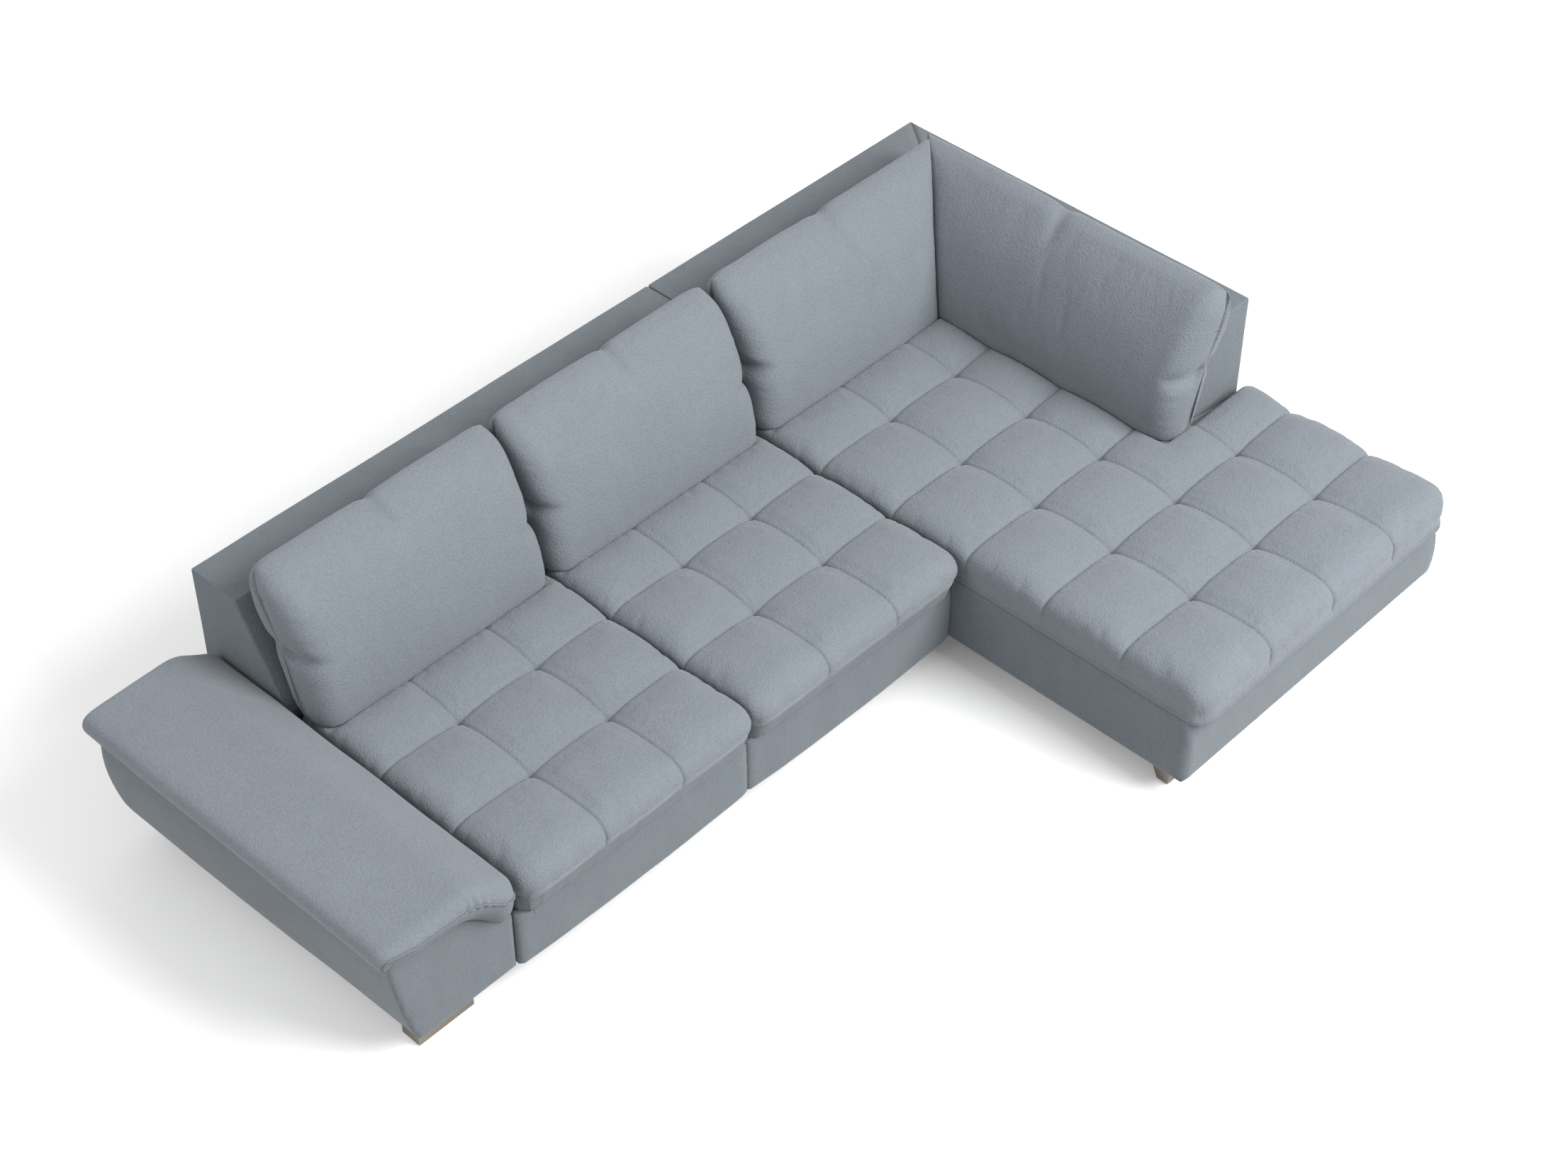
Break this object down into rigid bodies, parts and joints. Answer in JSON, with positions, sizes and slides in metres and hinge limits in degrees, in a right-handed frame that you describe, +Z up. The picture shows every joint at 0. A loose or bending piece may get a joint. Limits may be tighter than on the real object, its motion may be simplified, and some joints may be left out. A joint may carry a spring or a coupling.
{
  "type": "corner sofa",
  "caption": "Corner sofa with a tufted chaise on the right, loose back cushions, an adjustable armrest on the left and short feet.",
  "frame": {"origin": "centre of the bounding box at floor level", "axes": "+X to the sitter's left along the long back, towards the chaise side; +Y towards the long back; +Z up"},
  "size_m": [3.04, 1.905, 0.797],
  "materials": {
    "upholstery": "soft blue-grey woven cloth with a fine grain",
    "timber": "plain sawn pine",
    "steel": "zinc plated",
    "lining": "black non-woven felt",
    "foam": "cut foam",
    "metal_foot": "satin champagne",
    "plastic": "black moulded"
  },
  "bodies": {
    "sofa": {"base_frame_left": "timber", "base_frame_corner": "timber", "seat_springs_left": "steel", "seat_springs_corner": "steel", "spring_clips": "steel", "spring_cover_left": "lining", "spring_cover_corner": "lining", "dust_cover_left": "lining", "dust_cover_corner": "lining", "front_panel_1": "upholstery", "front_panel_2": "upholstery", "corner_base_cover": "upholstery", "seat_cushion_1": "upholstery", "seat_cushion_2": "upholstery", "corner_mattress": "upholstery", "seat_core_1": "foam", "seat_core_2": "foam", "corner_core": "foam", "back_frame_left": "timber", "back_frame_corner": "timber", "back_frame_right": "timber", "back_cover_left": "upholstery", "back_cover_corner": "upholstery", "back_cover_right": "upholstery", "arm_frame": "timber", "arm_cover": "upholstery", "arm_roll": "upholstery", "ratchet_fixed_plates": "steel", "ratchet_pins": "steel", "module_hooks": "steel", "module_catches": "steel", "frame_bolts": "steel", "arm_foot_front": "metal_foot", "arm_foot_rear": "metal_foot", "corner_foot_front_left": "metal_foot", "corner_foot_front_right": "metal_foot", "corner_foot_rear_left": "metal_foot", "corner_foot_rear_right": "metal_foot", "support_foot_front": "plastic", "support_foot_rear": "plastic", "foot_bolts": "steel", "foot_glides": "plastic"},
    "arm_flap": {"arm_flap": "upholstery", "arm_flap_board": "timber", "ratchet_moving_plates": "steel"},
    "back_cushion_1": {"back_cushion_1": "upholstery", "back_core_1": "foam"},
    "back_cushion_2": {"back_cushion_2": "upholstery", "back_core_2": "foam"},
    "back_cushion_3": {"back_cushion_3": "upholstery", "back_core_3": "foam"},
    "back_cushion_right": {"back_cushion_right": "upholstery", "back_core_right": "foam"}
  },
  "joints": [
    {"name": "armrest_hinge", "type": "hinge", "parent": "sofa", "child": "arm_flap", "pos_m": [-1.256, 0, 0.489], "axis": [0, 1, 0], "range_deg": [0, 40]},
    {"name": "back_cushion_1_lift", "type": "slide", "parent": "sofa", "child": "back_cushion_1", "axis": [0, 0, 1], "range_m": [0, 0.3]},
    {"name": "back_cushion_2_lift", "type": "slide", "parent": "sofa", "child": "back_cushion_2", "axis": [0, 0, 1], "range_m": [0, 0.3]},
    {"name": "back_cushion_3_lift", "type": "slide", "parent": "sofa", "child": "back_cushion_3", "axis": [0, 0, 1], "range_m": [0, 0.3]},
    {"name": "back_cushion_right_lift", "type": "slide", "parent": "sofa", "child": "back_cushion_right", "axis": [0, 0, 1], "range_m": [0, 0.3]}
  ]
}
